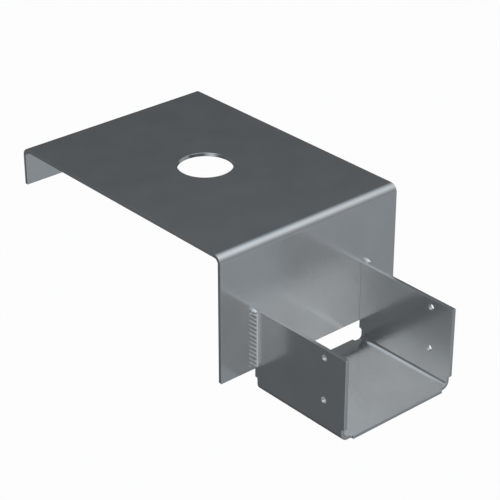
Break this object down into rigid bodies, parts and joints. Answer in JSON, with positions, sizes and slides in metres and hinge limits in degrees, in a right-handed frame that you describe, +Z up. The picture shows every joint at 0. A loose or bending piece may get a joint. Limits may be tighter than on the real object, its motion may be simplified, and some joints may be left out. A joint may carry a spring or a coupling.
{
  "type": "girder hanger",
  "caption": "Folded steel hanger: a saddle plate with an anchor hole sits over a concrete wall, and a welded U stirrup on its front plate carries the end of a timber girder.",
  "frame": {"origin": "on the axis of the anchor hole, at the underside of the top plate, where it bears on the wall", "axes": "+Z up along the anchor hole, +X out of the wall along the girder, Y across the hanger"},
  "size_m": [0.2931, 0.1524, 0.107],
  "materials": {
    "saddle_steel": "smooth grey metallic sheet, soft reflections, faintly mottled",
    "stirrup_steel": "smooth grey metallic sheet, soft reflections, faintly mottled",
    "weld_metal": "rippled weld metal, satin"
  },
  "bodies": {
    "root": {"saddle_plate": "saddle_steel", "girder_stirrup": "stirrup_steel", "left_weld_bead": "weld_metal", "right_weld_bead": "weld_metal"}
  },
  "joints": []
}
